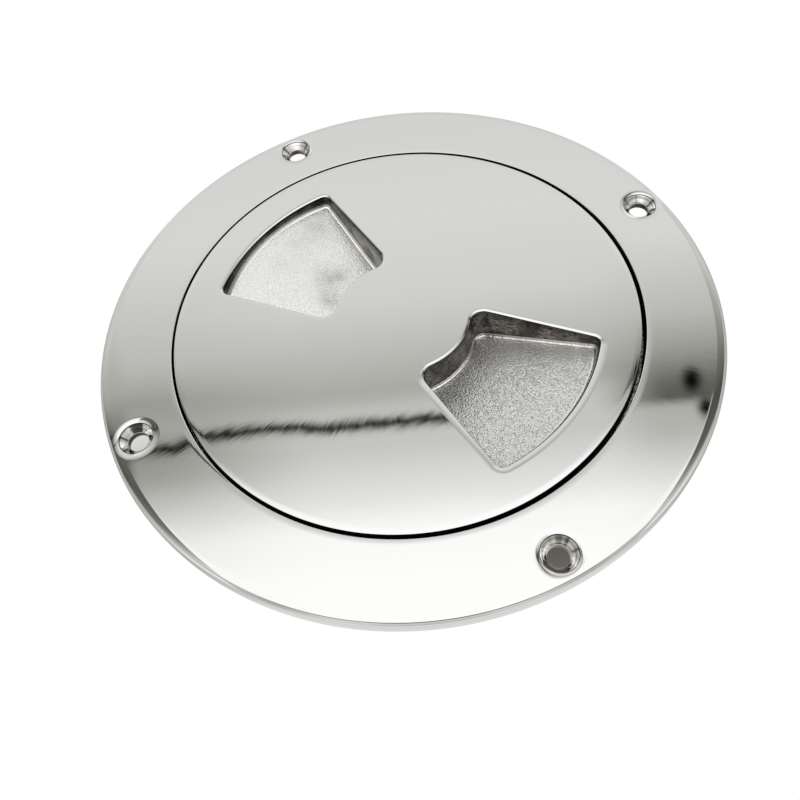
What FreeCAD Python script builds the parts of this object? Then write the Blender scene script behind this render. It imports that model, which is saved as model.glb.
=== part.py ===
import FreeCAD, Part
import math
import os
from FreeCAD import Vector

# Round deck inspection plate: a flange ring that is screwed down over a hole in the deck,
# a lid that screws into it flush, and the rubber ring that seals the lid.
# Millimetres. The origin is the middle of the flange's underside, which is the deck face.
# +Z points up out of the deck. The pocket nearest the viewer lies towards +X and -Y.

os.makedirs("parts", exist_ok=True)

# Mouth of the ring, which the lid fills, and the collar that drops through the deck
mouth_radius = 62.9
mouth_chamfer = 0.3
collar_depth = 12.0
collar_wall = 3.6

# Deck screws, countersunk at a right angle, between the collar and the flange's edge
screw_count = 4
screw_first_angle = 20.3
screw_to_collar = 9.0
screw_to_edge = 7.0
screw_hole_radius = 2.65
screw_head_radius = 4.6
screw_sink_angle = 90.0
screw_lip_width = 0.5
screw_lip_drop = 0.12

# Flange
flange_thick = 3.5
flange_edge_width = 1.8
flange_edge_depth = 1.3
flange_flat_count = 3

# Lid. It hangs a little to one side in the play of its thread, as in the photo.
lid_gap = 0.8
lid_edge_chamfer = 0.3
lid_rim_thick = 3.0
lid_plate_thick = 3.5
lid_shift_x = -0.24
lid_shift_y = 0.16
skirt_wall = 2.9
skirt_above_collar_end = 1.0
skirt_root_chamfer = 1.2

# Seal, on the ledge below the mouth and round the lid's neck
seal_cord_radius = 1.0
seal_flat_count = 6
seal_clear = 0.1
seal_side_clear = 0.4
neck_below_ledge = 0.3

# Thread, single start, right-handed
thread_pitch = 4.0
thread_height = 1.1
thread_clear = 0.4
thread_root_width = 2.2
thread_crest_width = 1.2
thread_sink = 0.4
thread_end_clear = 0.3

# Finger pockets, in the pocket's own frame: u runs outward from the lid's middle, v across
pocket_angles = (135.4, 315.4)
pocket_inner_radius = 18.4
pocket_half_angle = 17.75
pocket_side_offset = 7.15
pocket_outer_corner = 2.0
pocket_inner_corner = 3.5
pocket_draft = 3.0
pocket_floor_chamfer = 0.5
pocket_lip_round = 1.1
pocket_lip_flat_count = 3
pocket_shell = 2.4
pocket_to_skirt = 2.1
pocket_inner_depth = 9.89
pocket_outer_depth = 2.59
boss_root_sink = 0.5

# How far a cutting shape runs past the face it opens, and the angle below which two
# directions count as one
cut_overrun = 1.0
same_direction = 0.001

# Worked out from the sizes above
top = flange_thick
collar_radius = mouth_radius + collar_wall
screw_circle_radius = collar_radius + screw_to_collar
flange_radius = screw_circle_radius + screw_to_edge
lid_radius = mouth_radius - lid_gap
rim_under = top - lid_rim_thick
plate_under = top - lid_plate_thick
seal_centre_radius = mouth_radius - seal_side_clear - seal_cord_radius
ledge_level = rim_under - 2.0 * (seal_cord_radius + seal_clear)
neck_radius = seal_centre_radius - seal_cord_radius - seal_clear
neck_end = ledge_level - neck_below_ledge
lid_root_radius = neck_radius - thread_height
ring_root_radius = neck_radius + thread_clear
ring_crest_radius = lid_root_radius + thread_clear
skirt_inner_radius = lid_root_radius - skirt_wall
skirt_end = skirt_above_collar_end - collar_depth
pocket_outer_radius = skirt_inner_radius - pocket_to_skirt - pocket_shell
pocket_length = pocket_outer_radius - pocket_inner_radius
floor_slope = (pocket_inner_depth - pocket_outer_depth) / pocket_length
floor_depth_at_centre = pocket_inner_depth + floor_slope * pocket_inner_radius
thread_margin = thread_end_clear + thread_root_width / 2.0
thread_top = neck_end - thread_margin
ring_thread_start = thread_margin - collar_depth
lid_thread_start = skirt_end + thread_margin
axis_z = Vector(0, 0, 1)


def line(start, end):
    return Part.LineSegment(start, end).toShape()


def arc(start, middle, end):
    return Part.Arc(start, middle, end).toShape()


def rounded(centre, across, up, from_angle, to_angle, flats):
    """Points of a round or oval corner in the XZ plane, between two angles from +X.
    The turned profiles take a few flats for a small rounding, which keeps the mesh light."""
    points = []
    for i in range(flats + 1):
        a = math.radians(from_angle + (to_angle - from_angle) * i / flats)
        points.append(centre + Vector(across * math.cos(a), 0, up * math.sin(a)))
    return points


def turned(points):
    """Solid of revolution about Z from a closed outline in the XZ plane."""
    outline = Part.makePolygon(points + points[:1])
    return Part.Face(outline).revolve(Vector(0, 0, 0), axis_z, 360)


def thread_ridge(base_radius, crest_radius, start_level):
    """Helical ridge of trapezium section, sunk a little into the wall that carries it."""
    outward = 1.0 if crest_radius > base_radius else -1.0
    foot_radius = base_radius - outward * thread_sink
    flank = (thread_root_width - thread_crest_width) / 2.0 / abs(crest_radius - base_radius)
    half_foot = thread_root_width / 2.0 + flank * thread_sink
    half_crest = thread_crest_width / 2.0
    corners = [
        Vector(foot_radius, 0, -half_foot),
        Vector(crest_radius, 0, -half_crest),
        Vector(crest_radius, 0, half_crest),
        Vector(foot_radius, 0, half_foot),
    ]
    profile = Part.makePolygon(corners + corners[:1])
    path = Part.Wire(Part.makeHelix(thread_pitch, thread_top - start_level, base_radius).Edges)
    ridge = path.makePipeShell([profile], True, True)
    ridge.translate(Vector(0, 0, start_level))
    return ridge


def fan_wire(inset, z):
    """Outline of a pocket at one level: two arcs about the lid's middle, two straight sides
    and four round corners. A negative inset gives the outline of the body round it."""
    outer = pocket_outer_radius - inset
    inner = pocket_inner_radius + inset
    outer_corner = pocket_outer_corner - inset
    inner_corner = pocket_inner_corner - inset
    a = math.radians(pocket_half_angle)
    normal = Vector(-math.sin(a), math.cos(a), 0)
    along = Vector(math.cos(a), math.sin(a), 0)
    reach = pocket_side_offset - inset

    def corner_centre(corner_radius, distance):
        across = reach - corner_radius
        return normal * across + along * math.sqrt(distance ** 2 - across ** 2)

    far = corner_centre(outer_corner, outer - outer_corner)
    near = corner_centre(inner_corner, inner + inner_corner)
    far_out = Vector(far).normalize()
    near_out = Vector(near).normalize()
    half = [
        (far_out * outer, far + Vector(far_out + normal).normalize() * outer_corner,
         far + normal * outer_corner),
        (near + normal * inner_corner,
         near + Vector(normal - near_out).normalize() * inner_corner, near_out * inner),
    ]

    def flip(p):
        return Vector(p.x, -p.y, p.z)

    edges = [
        arc(flip(half[0][0]), Vector(outer, 0, 0), half[0][0]),
        arc(*half[0]),
        line(half[0][2], half[1][0]),
        arc(*half[1]),
        arc(half[1][2], Vector(inner, 0, 0), flip(half[1][2])),
        arc(*[flip(p) for p in reversed(half[1])]),
        line(flip(half[1][0]), flip(half[0][2])),
        arc(*[flip(p) for p in reversed(half[0])]),
    ]
    wire = Part.Wire(edges)
    wire.translate(Vector(0, 0, z))
    return wire


def draft_inset(level):
    """How far the drafted wall has moved inwards at a level below the lid's top."""
    return (top - level) * math.tan(math.radians(pocket_draft))


def fan_body(stations):
    """Body through the fan outline at several (inset, level) stations."""
    return Part.makeLoft([fan_wire(inset, level) for inset, level in stations], True, True)


def above_floor(lower_by):
    """Everything over the sloping floor, which is deepest towards the lid's middle."""
    reach = 2.0 * pocket_outer_radius
    level = top - floor_depth_at_centre - lower_by
    points = [
        Vector(0, -reach, level),
        Vector(reach, -reach, level + floor_slope * reach),
        Vector(reach, -reach, top + reach),
        Vector(0, -reach, top + reach),
    ]
    return Part.Face(Part.makePolygon(points + points[:1])).extrude(Vector(0, 2.0 * reach, 0))


def place(shape, angle):
    """A pocket shape turned to its place on the lid."""
    copy = shape.copy()
    copy.rotate(Vector(0, 0, 0), axis_z, angle)
    return copy


def pocket_hollow():
    lowest = top - floor_depth_at_centre
    stations = [(draft_inset(lowest), lowest)]
    # The lip turns outwards on a quarter round from the wall to the lid's top.
    for i in range(pocket_lip_flat_count + 1):
        a = math.radians(90.0 * i / pocket_lip_flat_count)
        level = top - pocket_lip_round * (1.0 - math.sin(a))
        stations.append((draft_inset(level) - pocket_lip_round * (1.0 - math.cos(a)), level))
    stations.append((-pocket_lip_round, top + pocket_lip_round))
    hollow = fan_body(stations).common(above_floor(0.0))
    floor_normal = Vector(-floor_slope, 0, 1).normalize()
    rim = []
    for face in hollow.Faces:
        if face.normalAt(0, 0).getAngle(-floor_normal) < same_direction:
            rim = face.Edges
    return hollow.makeChamfer(pocket_floor_chamfer, rim)


def pocket_boss():
    drop = pocket_shell * math.hypot(1.0, floor_slope)
    lowest = top - floor_depth_at_centre - drop
    stations = [(draft_inset(z) - pocket_shell, z) for z in (plate_under + boss_root_sink, lowest)]
    return fan_body(stations).common(above_floor(drop))


def screw_cutter():
    """One screw hole: the shank's bore, the countersink and its softened mouth."""
    slope = math.tan(math.radians(screw_sink_angle / 2.0))
    sink_top = top - screw_lip_drop
    sink_depth = (screw_head_radius - screw_hole_radius) / slope
    mouth = screw_head_radius + screw_lip_width
    return turned([
        Vector(0, 0, -cut_overrun),
        Vector(screw_hole_radius, 0, -cut_overrun),
        Vector(screw_hole_radius, 0, sink_top - sink_depth),
        Vector(screw_head_radius, 0, sink_top),
        Vector(mouth, 0, top),
        Vector(mouth, 0, top + cut_overrun),
        Vector(0, 0, top + cut_overrun),
    ])


def flange_ring():
    # The top rolls off towards the edge on a quarter oval, wider than it is deep.
    edge = Vector(flange_radius - flange_edge_width, 0, top - flange_edge_depth)
    body = turned([
        Vector(mouth_radius, 0, top - mouth_chamfer),
        Vector(mouth_radius + mouth_chamfer, 0, top),
        *rounded(edge, flange_edge_width, flange_edge_depth, 90.0, 0.0, flange_flat_count),
        Vector(flange_radius, 0, 0),
        Vector(collar_radius, 0, 0),
        Vector(collar_radius, 0, -collar_depth),
        Vector(ring_root_radius, 0, -collar_depth),
        Vector(ring_root_radius, 0, ledge_level),
        Vector(mouth_radius, 0, ledge_level),
    ])
    ridge = thread_ridge(ring_root_radius, ring_crest_radius, ring_thread_start)
    body = body.fuse(ridge)
    cutter = screw_cutter()
    cutter.translate(Vector(screw_circle_radius, 0, 0))
    for i in range(screw_count):
        body = body.cut(place(cutter, screw_first_angle + i * 360.0 / screw_count))
    return body


def lid():
    body = turned([
        Vector(0, 0, top),
        Vector(lid_radius - lid_edge_chamfer, 0, top),
        Vector(lid_radius, 0, top - lid_edge_chamfer),
        Vector(lid_radius, 0, rim_under),
        Vector(neck_radius, 0, rim_under),
        Vector(neck_radius, 0, neck_end),
        Vector(lid_root_radius, 0, neck_end),
        Vector(lid_root_radius, 0, skirt_end),
        Vector(skirt_inner_radius, 0, skirt_end),
        Vector(skirt_inner_radius, 0, plate_under - skirt_root_chamfer),
        Vector(skirt_inner_radius - skirt_root_chamfer, 0, plate_under),
        Vector(0, 0, plate_under),
    ])
    # The lid's ridge runs half a pitch from the ring's, in the middle of its groove.
    ridge = thread_ridge(lid_root_radius, neck_radius, lid_thread_start)
    ahead = (lid_thread_start - ring_thread_start) / thread_pitch - 0.5
    body = body.fuse(place(ridge, ahead * 360.0))
    boss = pocket_boss()
    hollow = pocket_hollow()
    for angle in pocket_angles:
        body = body.fuse(place(boss, angle))
    for angle in pocket_angles:
        body = body.cut(place(hollow, angle))
    body.translate(Vector(lid_shift_x, lid_shift_y, 0))
    return body


def o_ring():
    # Flat above and below, where the ledge and the lid's rim press on the cord
    middle = Vector(seal_centre_radius, 0, ledge_level + seal_clear + seal_cord_radius)
    up = seal_cord_radius / math.cos(math.pi / seal_flat_count)
    cord = rounded(middle, seal_cord_radius, up, 0.0, 360.0, seal_flat_count)
    ring = turned(cord[:-1])
    ring.translate(Vector(lid_shift_x, lid_shift_y, 0))
    return ring


for name, make in (("flange_ring", flange_ring), ("lid", lid), ("o_ring", o_ring)):
    shape = make()
    if len(shape.Solids) == 1:
        shape = shape.Solids[0]
    print(name, "valid", shape.isValid(), "solids", len(shape.Solids), "volume", round(shape.Volume, 1))
    shape.exportStep("parts/" + name + ".step")
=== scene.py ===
import bpy
import math
import numpy as np
from mathutils import Matrix, Vector


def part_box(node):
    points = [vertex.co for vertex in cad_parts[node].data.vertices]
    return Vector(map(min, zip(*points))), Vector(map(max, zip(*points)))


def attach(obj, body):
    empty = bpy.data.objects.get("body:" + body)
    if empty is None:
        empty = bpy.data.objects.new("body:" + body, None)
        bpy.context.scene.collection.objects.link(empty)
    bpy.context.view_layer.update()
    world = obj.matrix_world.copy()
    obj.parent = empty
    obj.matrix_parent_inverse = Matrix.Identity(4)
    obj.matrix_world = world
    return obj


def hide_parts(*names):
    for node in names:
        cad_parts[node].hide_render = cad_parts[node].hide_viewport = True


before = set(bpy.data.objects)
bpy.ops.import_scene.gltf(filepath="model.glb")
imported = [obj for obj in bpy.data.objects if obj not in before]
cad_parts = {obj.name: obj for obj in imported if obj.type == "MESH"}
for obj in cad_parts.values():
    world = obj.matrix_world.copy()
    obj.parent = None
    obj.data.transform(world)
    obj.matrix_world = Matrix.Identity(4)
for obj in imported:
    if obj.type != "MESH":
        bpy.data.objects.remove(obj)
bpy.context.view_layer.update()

# Polished deck plate on a white table: a flange ring, the lid that screws into it and its
# rubber ring. Shapes are worked out in millimetres from the frame's boxes and turned into
# metres when a mesh is made. Angles are in degrees from +X, as in the frame.
mm = 0.001


# Sizes read from the frame

def boxOf(node):
    low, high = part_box(node)
    return np.array(low) / mm, np.array(high) / mm


ringLow, ringHigh = boxOf("flange_ring")
lidLow, lidHigh = boxOf("lid")
sealLow, sealHigh = boxOf("o_ring")
topLevel = ringHigh[2]
flangeRadius = (ringHigh[0] - ringLow[0]) / 2
collarEnd = ringLow[2]
lidCentre = np.array([(lidLow[0] + lidHigh[0]) / 2, (lidLow[1] + lidHigh[1]) / 2, 0.0])
lidRadius = (lidHigh[0] - lidLow[0]) / 2
skirtEnd = lidLow[2]
sealCordRadius = (sealHigh[2] - sealLow[2]) / 2
sealRadius = (sealHigh[0] - sealLow[0]) / 2 - sealCordRadius
sealLevel = (sealHigh[2] + sealLow[2]) / 2


# Camera

camera = {"focalLength": 33.77, "sensorWidth": 36.0, "distance": 201.75, "height": 52.15,
          "roll": -8.42, "yaw": -1.18, "pitch": -6.39}


def addCamera(c):
    # The camera looks along +Y and down at the middle of the plate's top, then turns a
    # little to the side (yaw), up or down (pitch) and about its own axis (roll).
    el, yaw = math.radians(c["height"]), math.radians(c["yaw"])
    pitch, roll = math.radians(c["pitch"]), math.radians(c["roll"])
    ahead = Vector((0, math.cos(el), -math.sin(el)))
    right = Vector((1, 0, 0))
    up = right.cross(ahead)
    place = Vector((0, 0, topLevel)) - ahead * c["distance"]
    look = ahead * math.cos(yaw) * math.cos(pitch) + right * math.sin(yaw) * math.cos(pitch)
    look = look + up * math.sin(pitch)
    side = look.cross(up).normalized()
    above = side.cross(look)
    turnedSide = side * math.cos(roll) + above * math.sin(roll)
    turnedAbove = above * math.cos(roll) - side * math.sin(roll)
    data = bpy.data.cameras.new("photoCamera")
    data.sensor_width = c["sensorWidth"]
    data.lens = c["focalLength"]
    data.clip_start = 0.01
    obj = bpy.data.objects.new("photoCamera", data)
    axes = Matrix((turnedSide, turnedAbove, -look)).transposed()
    obj.matrix_world = Matrix.Translation(place * mm) @ axes.to_4x4()
    bpy.context.collection.objects.link(obj)
    bpy.context.scene.camera = obj


addCamera(camera)
print("camera set")


# Meshes: a piece is a list of patches, and a patch is points, faces of equal length,
# a normal for each face corner and a material number

def gridPatch(points, normals, material, wrapRows=False, wrapColumns=True):
    # Quads of a (rows, columns) grid of points, closed in the directions that wrap
    rows, columns = points.shape[:2]
    i = np.arange(rows if wrapRows else rows - 1)[:, None]
    j = np.arange(columns if wrapColumns else columns - 1)[None, :]
    a = i * columns + j
    b = i * columns + (j + 1) % columns
    c = (i + 1) % rows * columns + (j + 1) % columns
    d = (i + 1) % rows * columns + j
    faces = np.stack([a, b, c, d], axis=-1).reshape(-1, 4)
    flat = normals.reshape(-1, 3)
    return {"points": points.reshape(-1, 3), "faces": faces, "normals": flat[faces], "material": material}


def flatPatch(outline, normal, material):
    # One flat face with any number of corners
    faces = np.arange(len(outline))[None, :]
    normals = np.broadcast_to(np.array(normal, float), (1, len(outline), 3))
    return {"points": outline, "faces": faces, "normals": normals, "material": material}


def faceOutwards(patch):
    # Newell's normal of each face is compared with its corner normals
    corners = patch["points"][patch["faces"]]
    after = np.roll(corners, -1, axis=1)
    newell = np.cross(corners, after).sum(axis=1)
    wrong = (newell * patch["normals"].mean(axis=1)).sum(axis=1) < 0
    patch["faces"] = np.where(wrong[:, None], patch["faces"][:, ::-1], patch["faces"])
    patch["normals"] = np.where(wrong[:, None, None], patch["normals"][:, ::-1], patch["normals"])


def makePiece(name, patches, materials, body, node):
    points, loops, counts, normals, kinds = [], [], [], [], []
    start = 0
    for patch in patches:
        faceOutwards(patch)
        points.append(patch["points"])
        loops.append((patch["faces"] + start).ravel())
        counts.append(np.full(len(patch["faces"]), patch["faces"].shape[1]))
        normals.append(patch["normals"].reshape(-1, 3))
        kinds.append(np.full(len(patch["faces"]), patch["material"]))
        start += len(patch["points"])
    points = np.concatenate(points)
    loops, counts, normals = np.concatenate(loops), np.concatenate(counts), np.concatenate(normals)
    # Points of different patches that meet become one, to the nearest thousandth
    keys = np.round(points * 1000 + 0.23).astype(np.int64)
    _, first, joined = np.unique(keys, axis=0, return_index=True, return_inverse=True)
    points, loops = points[first], joined.ravel()[loops]
    # A corner that is now the same point as the next one goes, and so does each face that is
    # left with fewer than three: a mesh with such faces is not valid and can crash Blender
    face = np.repeat(np.arange(len(counts)), counts)
    last = np.cumsum(counts) - 1
    after = np.arange(1, len(loops) + 1)
    after[last] = last - counts + 1
    kept = loops != loops[after]
    corners = np.bincount(face[kept], minlength=len(counts))
    whole = corners > 2
    kept &= whole[face]
    loops, normals = loops[kept], normals[kept]
    counts, kinds = corners[whole], np.concatenate(kinds)[whole]
    mesh = bpy.data.meshes.new(name)
    mesh.vertices.add(len(points))
    mesh.vertices.foreach_set("co", (points * mm).ravel())
    mesh.loops.add(len(loops))
    mesh.loops.foreach_set("vertex_index", loops)
    mesh.polygons.add(len(counts))
    starts = np.concatenate([[0], np.cumsum(counts)[:-1]])
    mesh.polygons.foreach_set("loop_start", starts)
    mesh.polygons.foreach_set("material_index", kinds)
    mesh.polygons.foreach_set("use_smooth", np.ones(len(counts), bool))
    for material in materials:
        mesh.materials.append(material)
    mesh.update(calc_edges=True)
    mesh.normals_split_custom_set(normals.tolist())
    obj = bpy.data.objects.new(name, mesh)
    bpy.context.collection.objects.link(obj)
    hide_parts(node)
    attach(obj, body)
    print(name, len(counts), "faces")
    return obj


# Profiles in a plane of (out, up), each a list of points and their normals

def straight(start, end, flip=1):
    # Line with the normal on its left, or on its right where flip is -1
    p = np.array([start, end], float)
    along = (p[1] - p[0]) / np.linalg.norm(p[1] - p[0])
    n = flip * np.array([-along[1], along[0]])
    return p, np.array([n, n])


def oval(centre, across, up, fromAngle, toAngle, steps, flip=1):
    # Quarter or less of an ellipse, with normals (cos t / across, sin t / up)
    t = np.radians(np.linspace(fromAngle, toAngle, steps + 1))
    p = np.stack([centre[0] + across * np.cos(t), centre[1] + up * np.sin(t)], axis=-1)
    n = np.stack([np.cos(t) / across, np.sin(t) / up], axis=-1)
    return p, flip * n / np.linalg.norm(n, axis=1)[:, None]


def rollOff(start, width, slope, steps, side=1):
    # Soft polish-rounded strip: the level drops as slope * x^2 / (2 * width), x from 0 to width
    x = np.linspace(0, width, steps + 1)
    p = np.stack([start[0] + side * x, start[1] - slope * x ** 2 / (2 * width)], axis=-1)
    n = np.stack([side * slope * x / width, np.ones_like(x)], axis=-1)
    return p, n / np.linalg.norm(n, axis=1)[:, None]


def turned(profile, angles, material, centre=(0, 0, 0)):
    # A profile carried round a vertical axis: (out cos a, out sin a, up) + centre
    p, n = profile
    a = np.radians(angles)
    ring = np.stack([np.cos(a), np.sin(a), np.zeros_like(a)], axis=-1)
    points = p[:, None, :1] * ring + np.stack([0 * p[:, 1], 0 * p[:, 1], p[:, 1]], axis=-1)[:, None, :]
    normals = n[:, None, :1] * ring + np.stack([0 * n[:, 1], 0 * n[:, 1], n[:, 1]], axis=-1)[:, None, :]
    return gridPatch(points + np.array(centre), normals, material)


def helixRidge(foot, crest, halfFoot, halfCrest, startLevel, rise, pitch, startAngle, centre, material):
    # Trapezium section carried up a helix: level = startLevel + pitch * turns
    steps = int(threadShape["stepsPerTurn"] * rise / pitch)
    turn = np.linspace(0, 2 * math.pi * rise / pitch, steps + 1)
    a = turn + math.radians(startAngle)
    level = startLevel + pitch * turn / (2 * math.pi)
    section = np.array([[foot, -halfFoot], [crest, -halfCrest], [crest, halfCrest], [foot, halfFoot]])
    points = np.stack([section[:, 0] * np.cos(a)[:, None], section[:, 0] * np.sin(a)[:, None],
                       level[:, None] + section[:, 1]], axis=-1) + np.array(centre)
    patches = []
    outward = 1 if crest > foot else -1
    for k in range(4):
        strip = points[:, [k, (k + 1) % 4]]
        out, up = section[(k + 1) % 4] - section[k]
        n = outward * np.array([up, -out]) / math.hypot(out, up)
        normal = np.stack([n[0] * np.cos(a), n[0] * np.sin(a), n[1] + 0 * a], axis=-1)
        patches.append(gridPatch(strip, np.repeat(normal[:, None], 2, axis=1), material, wrapColumns=False))
    for end, side in ((0, -1), (-1, 1)):
        along = side * np.array([-math.sin(a[end]), math.cos(a[end]), 0])
        patches.append(flatPatch(points[end], along, material))
    return patches


# Screw thread shared by the ring and the lid

threadShape = {"pitch": 4.0, "height": 1.1, "clear": 0.4, "rootWidth": 2.2, "crestWidth": 1.2,
               "sink": 0.4, "endClear": 0.3, "stepsPerTurn": 120}
fit = {"lidRimThick": 3.0, "lidPlateThick": 3.5, "gap": 0.8, "sealClear": 0.1, "neckBelowLedge": 0.3}
rimUnder = topLevel - fit["lidRimThick"]
plateUnder = topLevel - fit["lidPlateThick"]
mouthRadius = lidRadius + fit["gap"]
ledgeLevel = rimUnder - 2 * (sealCordRadius + fit["sealClear"])
neckRadius = sealRadius - sealCordRadius - fit["sealClear"]
neckEnd = ledgeLevel - fit["neckBelowLedge"]
lidRootRadius = neckRadius - threadShape["height"]
ringRootRadius = neckRadius + threadShape["clear"]
ringCrestRadius = lidRootRadius + threadShape["clear"]
threadMargin = threadShape["endClear"] + threadShape["rootWidth"] / 2
threadTop = neckEnd - threadMargin


def threadPatches(baseRadius, crestRadius, startLevel, startAngle, centre, material):
    t = threadShape
    outward = 1 if crestRadius > baseRadius else -1
    foot = baseRadius - outward * t["sink"]
    flank = (t["rootWidth"] - t["crestWidth"]) / 2 / abs(crestRadius - baseRadius)
    halfFoot = t["rootWidth"] / 2 + flank * t["sink"]
    return helixRidge(foot, crestRadius, halfFoot, t["crestWidth"] / 2, startLevel,
                      threadTop - startLevel, t["pitch"], startAngle, centre, material)


# Shader helpers

def feed(tree, socket, value):
    # A socket links, anything else is set
    if hasattr(value, "links"):
        tree.links.new(value, socket)
    else:
        socket.default_value = value


def addNode(tree, kind, *values, **settings):
    # Values go to the inputs in their order, and settings to inputs or properties by name
    node = tree.nodes.new(kind)
    for key, value in settings.items():
        if key in node.inputs:
            feed(tree, node.inputs[key], value)
        else:
            setattr(node, key, value)
    for socket, value in zip(node.inputs, values):
        feed(tree, socket, value)
    return node


def ramp(tree, source, stops, interpolation="LINEAR"):
    node = tree.nodes.new("ShaderNodeValToRGB")
    node.color_ramp.interpolation = interpolation
    while len(node.color_ramp.elements) < len(stops):
        node.color_ramp.elements.new(0.5)
    for element, (place, colour) in zip(node.color_ramp.elements, stops):
        element.position = place
        element.color = (*colour, 1) if len(colour) == 3 else (*colour * 3, 1)
    tree.links.new(source, node.inputs["Fac"])
    return node


def mathNode(tree, operation, *values):
    node = tree.nodes.new("ShaderNodeMath")
    node.operation = operation
    for socket, value in zip(node.inputs, values):
        feed(tree, socket, value)
    return node.outputs[0]


def plus(tree, a, b):
    return mathNode(tree, "ADD", a, b)


def minus(tree, a, b):
    return mathNode(tree, "SUBTRACT", a, b)


def times(tree, a, b):
    return mathNode(tree, "MULTIPLY", a, b)


def over(tree, a, b):
    return mathNode(tree, "DIVIDE", a, b)


def power(tree, a, b):
    return mathNode(tree, "POWER", a, b)


def newMaterial(name):
    material = bpy.data.materials.new(name)
    material.use_nodes = True
    tree = material.node_tree
    tree.nodes.clear()
    shader = tree.nodes.new("ShaderNodeBsdfPrincipled")
    output = addNode(tree, "ShaderNodeOutputMaterial", Surface=shader.outputs["BSDF"])
    return material, tree, shader


# Polished steel: broad waves left by the buffing wheel, and fine streaks that run outwards

polish = {"colour": (0.78, 0.78, 0.77, 1), "roughness": 0.026, "leastRough": 0.8, "mostRough": 1.3,
          "streakRound": 62.0, "streakAlong": 150.0,
          "streakHeight": 0.0000015, "holeAngle": 20.3, "holeCircle": 0.0755}
lidFinish = {"waveScale": 42.0, "waveHeight": 0.00002, "rollStart": 1.0, "rollSlope": 0.0,
             "lipReach": 0.0, "lipSlope": 0.0}
ringFinish = {"waveScale": 60.0, "waveHeight": 0.00001, "rollStart": 0.0797, "rollSlope": 60.0,
              "lipReach": 0.0063, "lipSlope": 130.0}


def buffedGroup(p):
    # Height = waves + streaks - slope / 2 * (distance from the middle past rollStart) ^ 2
    #          - lip slope / 2 * (lip reach - distance from the nearest screw hole's middle) ^ 2
    tree = bpy.data.node_groups.new("buffedSurface", "ShaderNodeTree")
    for name in ("Wave Scale", "Wave Height", "Streak Height", "Roll Start", "Roll Slope", "Lip Reach",
                 "Lip Slope"):
        tree.interface.new_socket(name=name, in_out="INPUT", socket_type="NodeSocketFloat")
    tree.interface.new_socket(name="Vector", in_out="INPUT", socket_type="NodeSocketVector")
    tree.interface.new_socket(name="Streaks", in_out="OUTPUT", socket_type="NodeSocketFloat")
    tree.interface.new_socket(name="Normal", in_out="OUTPUT", socket_type="NodeSocketVector")
    start = tree.nodes.new("NodeGroupInput")
    end = tree.nodes.new("NodeGroupOutput")
    flat = addNode(tree, "ShaderNodeVectorMath", operation="MULTIPLY")
    flat.inputs[1].default_value = (1, 1, 0)
    tree.links.new(start.outputs["Vector"], flat.inputs[0])
    length = addNode(tree, "ShaderNodeVectorMath", flat.outputs["Vector"], operation="LENGTH")
    distance = length.outputs["Value"]
    # Streaks: noise on (direction from the middle * round, distance * along)
    heading = addNode(tree, "ShaderNodeVectorMath", flat.outputs["Vector"], operation="NORMALIZE")
    rounded = addNode(tree, "ShaderNodeVectorMath", operation="SCALE")
    rounded.inputs["Scale"].default_value = p["streakRound"]
    tree.links.new(heading.outputs["Vector"], rounded.inputs[0])
    along = tree.nodes.new("ShaderNodeCombineXYZ")
    tree.links.new(times(tree, distance, p["streakAlong"]), along.inputs["Z"])
    place = addNode(tree, "ShaderNodeVectorMath", rounded.outputs["Vector"], along.outputs["Vector"],
                    operation="ADD")
    streaks = addNode(tree, "ShaderNodeTexNoise", Scale=1.0, Detail=3.0, Roughness=0.6,
                      Vector=place.outputs["Vector"])
    waves = addNode(tree, "ShaderNodeTexNoise", Detail=1.0, Roughness=0.4, Vector=start.outputs["Vector"])
    tree.links.new(start.outputs["Wave Scale"], waves.inputs["Scale"])

    def dropped(past, slope):
        return times(tree, power(tree, mathNode(tree, "MAXIMUM", past, 0.0), 2.0), slope)

    drop = dropped(minus(tree, distance, start.outputs["Roll Start"]), start.outputs["Roll Slope"])
    # The four holes fold onto one at (circle, 0) by turning and taking absolute values
    folded = addNode(tree, "ShaderNodeVectorRotate", rotation_type="Z_AXIS",
                     Angle=math.radians(-p["holeAngle"]))
    tree.links.new(flat.outputs["Vector"], folded.inputs["Vector"])
    positive = addNode(tree, "ShaderNodeVectorMath", folded.outputs["Vector"], operation="ABSOLUTE")
    sides = addNode(tree, "ShaderNodeSeparateXYZ", Vector=positive.outputs["Vector"])
    longer = mathNode(tree, "MAXIMUM", sides.outputs["X"], sides.outputs["Y"])
    shorter = mathNode(tree, "MINIMUM", sides.outputs["X"], sides.outputs["Y"])
    longer = minus(tree, longer, p["holeCircle"])
    toHole = mathNode(tree, "SQRT", plus(tree, power(tree, mathNode(tree, "ABSOLUTE", longer), 2.0),
                                             power(tree, shorter, 2.0)))
    lip = dropped(minus(tree, start.outputs["Lip Reach"], toHole), start.outputs["Lip Slope"])
    drop = plus(tree, drop, lip)
    height = times(tree, waves.outputs["Fac"], start.outputs["Wave Height"])
    fine = times(tree, streaks.outputs["Fac"], start.outputs["Streak Height"])
    height = plus(tree, height, fine)
    height = minus(tree, height, times(tree, drop, 0.5))
    bump = addNode(tree, "ShaderNodeBump", Strength=1.0, Distance=1.0, Height=height)
    tree.links.new(streaks.outputs["Fac"], end.inputs["Streaks"])
    tree.links.new(bump.outputs["Normal"], end.inputs["Normal"])
    return tree


buffed = buffedGroup(polish)


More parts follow.
